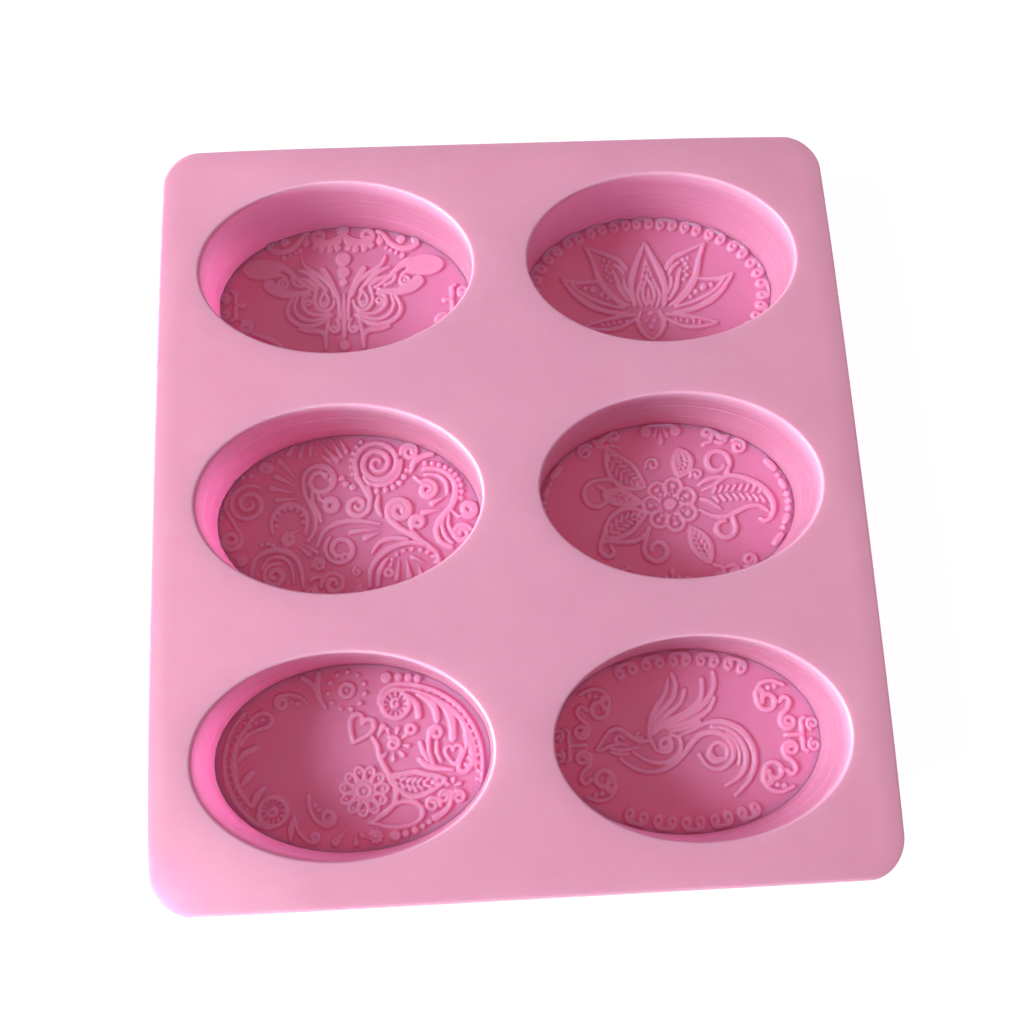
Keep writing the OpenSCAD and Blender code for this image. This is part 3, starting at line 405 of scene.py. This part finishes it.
def mould_skin(material):
    """The sheet with its rolled edge, the rounded mouths and the six walls, as one closed skin."""
    b = Builder()
    edge, low = 0.9 * MM, 0.5 * MM      # the rounding of the edge's top and bottom corners
    profile = [(edge * (1 - math.sin(a)), TOP - edge * (1 - math.cos(a)))
               for a in (0, 0.35, 0.7, 1.05, 1.4, math.pi / 2)]
    profile += [(low * (1 - math.cos(a)), BAND_LOW + low * (1 - math.sin(a)))
                for a in (0, 0.5, 1.0, math.pi / 2)]
    profile += [(BAND - 0.4 * MM, BAND_LOW), (BAND, BAND_LOW + 0.3 * MM), (BAND + 0.3 * MM, SHEET_LOW)]
    top_loop, under_loop = b.loops([round_rect(i, z) for i, z in profile])
    holes = [b.loops(wall_rings(centre("wall_" + m))) for m in MOTIFS]
    plate(b, top_loop, [h[1] for h in holes], sheet_spots(5 * MM))
    plate(b, under_loop, [h[0] for h in holes], sheet_spots(6 * MM), under=True)
    b.points = [settle(np.vstack(b.points))]
    obj = b.make("mould_skin", material)
    # the "wall" value, 1 at the sheet's underside and 0 from 1 mm under its top, places the walls' painted
    # shade and sets how deep light goes into them
    set_values(obj, "wall", np.interp(b.points[0][:, 2], (SHEET_LOW, TOP - 1 * MM), (1, 0)))
    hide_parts("top_sheet", "edge_band", *("wall_" + m for m in MOTIFS))
    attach(obj, "mould")
    return obj


# ---------------------------------------------------------------- materials

SHEET_PINK = (0.735, 0.345, 0.488, 1), (0.715, 0.325, 0.468, 1)     # the mottling's light and dark
# the floors' mottling is painted a deeper pink than the sheet's: painted shade for the light that bounces
# round inside the cups
FLOOR_SHADE_PINK = (0.67, 0.28, 0.49, 1), (0.65, 0.26, 0.465, 1)
WALL_SHADE_PINK = (0.71, 0.29, 0.44, 1)               # the walls are painted a deeper pink than the sheet: painted shade for the light that bounces round inside the cups
RAISED_LIGHT_PINK = (0.82, 0.37, 0.57, 1)             # the ornaments' raised tops are painted paler than their floor: painted light for the light the rib tops catch
UNDER_GLOW = (0.66, 0.09, 0.17, 1)              # the light that comes through the mould onto the table


def feed(tree, socket, value):
    """Links an output to a socket, or sets the socket to a plain value."""
    if isinstance(value, bpy.types.NodeSocket):
        tree.links.new(value, socket)
    else:
        socket.default_value = value


def new_material(name):
    """A material with its node tree and shader."""
    mat = bpy.data.materials.new(name)
    mat.use_nodes = True
    return mat, mat.node_tree, mat.node_tree.nodes["Principled BSDF"]


def add_value(tree, name):
    """Reads one of the mesh's own numbers."""
    n = tree.nodes.new("ShaderNodeAttribute")
    n.attribute_name = name
    return n.outputs["Fac"]


def add_noise(tree, vector, scale, detail, rough=0.5):
    """A noise texture read at the given coordinates."""
    n = tree.nodes.new("ShaderNodeTexNoise")
    n.inputs["Scale"].default_value = scale
    n.inputs["Detail"].default_value = detail
    n.inputs["Roughness"].default_value = rough
    tree.links.new(vector, n.inputs["Vector"])
    return n.outputs["Fac"]


def add_range(tree, value, low, high, a, b):
    """Maps a value from low..high to a..b."""
    n = tree.nodes.new("ShaderNodeMapRange")
    n.inputs["From Min"].default_value, n.inputs["From Max"].default_value = low, high
    n.inputs["To Min"].default_value, n.inputs["To Max"].default_value = a, b
    tree.links.new(value, n.inputs["Value"])
    return n.outputs["Result"]


def add_mix(tree, factor, a, b):
    """Mixes two colours; a is an output or a plain colour."""
    n = tree.nodes.new("ShaderNodeMix")
    n.data_type = "RGBA"
    tree.links.new(factor, n.inputs["Factor"])
    feed(tree, n.inputs["A"], a)
    n.inputs["B"].default_value = b
    return n.outputs["Result"]


def add_math(tree, operation, a, b=0.0):
    """A maths node; each input is an output or a plain number."""
    n = tree.nodes.new("ShaderNodeMath")
    n.operation = operation
    feed(tree, n.inputs[0], a)
    feed(tree, n.inputs[1], b)
    return n.outputs["Value"]


def add_bump(tree, height, strength, distance, normal=None):
    """Bump from a height, on top of another normal if one is given."""
    n = tree.nodes.new("ShaderNodeBump")
    n.inputs["Strength"].default_value = strength
    n.inputs["Distance"].default_value = distance
    tree.links.new(height, n.inputs["Height"])
    if normal:
        tree.links.new(normal, n.inputs["Normal"])
    return n.outputs["Normal"]


def silicone(name, red, light, dark, walls):
    """Matte translucent silicone with mould grain and faint mottling.

    Red light goes further inside it than the rest by the factor red; light and dark are the mottling's
    two colours. With walls, it is painted a deeper colour where the mesh's "wall" is 1, painted shade
    for light bouncing round inside the cups, lets more light through there and has level lines; without,
    its ornament is painted paler where the mesh's "raised" is 1, painted light on the tops of its ribs.
    """
    mat, tree, shader = new_material(name)
    coord = tree.nodes.new("ShaderNodeTexCoord").outputs["Object"]
    mottle = add_range(tree, add_noise(tree, coord, 38, 4, 0.6), 0.35, 0.65, 0, 1)
    colour = add_mix(tree, mottle, light, dark)
    normal = None
    if walls:
        wall = add_value(tree, "wall")
        # painted shade: a deeper pink on the walls where "wall" is 1
        colour = add_mix(tree, wall, colour, WALL_SHADE_PINK)
        tree.links.new(add_range(tree, wall, 0, 1, 0.003, 0.014), shader.inputs["Subsurface Scale"])
        stretch = tree.nodes.new("ShaderNodeMapping")
        stretch.inputs["Scale"].default_value = (12, 12, 900)
        tree.links.new(coord, stretch.inputs["Vector"])
        normal = add_bump(tree, add_noise(tree, stretch.outputs["Vector"], 1.0, 2), 0.5, 0.0005)
    else:
        # painted light: the ornament's tops are paler where "raised" is high
        raised = add_range(tree, add_value(tree, "raised"), 0.2, 1, 0, 0.75)
        colour = add_mix(tree, raised, colour, RAISED_LIGHT_PINK)
        shader.inputs["Subsurface Scale"].default_value = 0.003
    tree.links.new(colour, shader.inputs["Base Color"])
    tree.links.new(add_range(tree, add_noise(tree, coord, 160, 3), 0.3, 0.7, 0.42, 0.52),
                   shader.inputs["Roughness"])
    shader.inputs["Subsurface Weight"].default_value = 1.0
    shader.inputs["Subsurface Radius"].default_value = (red, 0.72, 0.8)
    normal = add_bump(tree, add_noise(tree, coord, 1600, 3, 0.6), 0.25, 0.0001, normal)
    tree.links.new(normal, shader.inputs["Normal"])
    return mat


def white_floor():
    """A pale table that glows like a lit sweep; under the mould only red light gets through to it."""
    mat, tree, shader = new_material("studio_floor")
    place = tree.nodes.new("ShaderNodeSeparateXYZ")
    tree.links.new(tree.nodes.new("ShaderNodeTexCoord").outputs["Object"], place.inputs["Vector"])
    out = [add_math(tree, "SUBTRACT", add_math(tree, "ABSOLUTE", place.outputs[axis]), float(size))
           for axis, size in zip("XY", SHEET)]
    outside = add_math(tree, "MAXIMUM", *out)
    clear = add_range(tree, outside, -22 * MM, -6 * MM, 0, 1)
    tree.links.new(add_mix(tree, clear, UNDER_GLOW, (1, 1, 1, 1)), shader.inputs["Emission Color"])
    shader.inputs["Emission Strength"].default_value = 0.92
    shader.inputs["Base Color"].default_value = (0.2, 0.2, 0.2, 1)
    shader.inputs["Roughness"].default_value = 0.8
    shader.inputs["Specular IOR Level"].default_value = 0.1
    mesh = bpy.data.meshes.new("studio_floor")
    s = 3.0     # metres, half its side
    mesh.from_pydata([(-s, -s, 0), (s, -s, 0), (s, s, 0), (-s, s, 0)], [], [(0, 1, 2, 3)])
    mesh.materials.append(mat)
    place_object("studio_floor", mesh, (0, 0, -0.2 * MM))


# ---------------------------------------------------------------- light and camera


def area_light(name, place, aim, size, power, colour):
    """A round area light at a place, turned to its aim."""
    data = bpy.data.lights.new(name, "AREA")
    data.shape = "DISK"
    data.size = size
    data.energy = power
    data.color = colour
    obj = place_object(name, data, place)
    obj.rotation_euler = (Vector(aim) - Vector(place)).to_track_quat("-Z", "Y").to_euler()


def studio():
    """White surroundings, a big soft light from the left, and a low one that shines in under the sheet."""
    world = bpy.data.worlds.new("studio")
    bpy.context.scene.world = world
    world.use_nodes = True
    background = world.node_tree.nodes["Background"]
    background.inputs["Color"].default_value = (1, 1, 1, 1)
    background.inputs["Strength"].default_value = 0.38
    area_light("key", (-1.42, -0.22, 0.91), (0, 0, 0.02), 0.72, 36, (0.95, 1, 1.01))
    area_light("low", (-0.6, -0.27, 0.06), (0, 0, 0.012), 0.1, 6.8, (0.65, 1.1, 1.0))
    bpy.context.scene.view_settings.view_transform = "Standard"


def photo_camera():
    """The photo's viewpoint: above the mould's near half, looking down and a little away."""
    data = bpy.data.cameras.new("camera")
    data.sensor_width = 36
    data.lens = 38.94
    obj = place_object("camera", data, (-0.0124, -0.0762, TOP + 0.2947))
    turn = Vector((0.2342, -0.0355, -0.0456))       # its axis, as long as the angle in radians
    obj.rotation_mode = "QUATERNION"
    obj.rotation_quaternion = Quaternion(turn.normalized(), turn.length)
    bpy.context.scene.camera = obj


photo_camera()
studio()
white_floor()
pink = silicone("pink_silicone", 1, *SHEET_PINK, walls=True)
floor_pink = silicone("pink_floor", 1.9, *FLOOR_SHADE_PINK, walls=False)
mould_skin(pink)
disc, quads, rim = disc_grid()
for motif in MOTIFS:
    floor_skin(motif, floor_pink, disc, quads, rim)
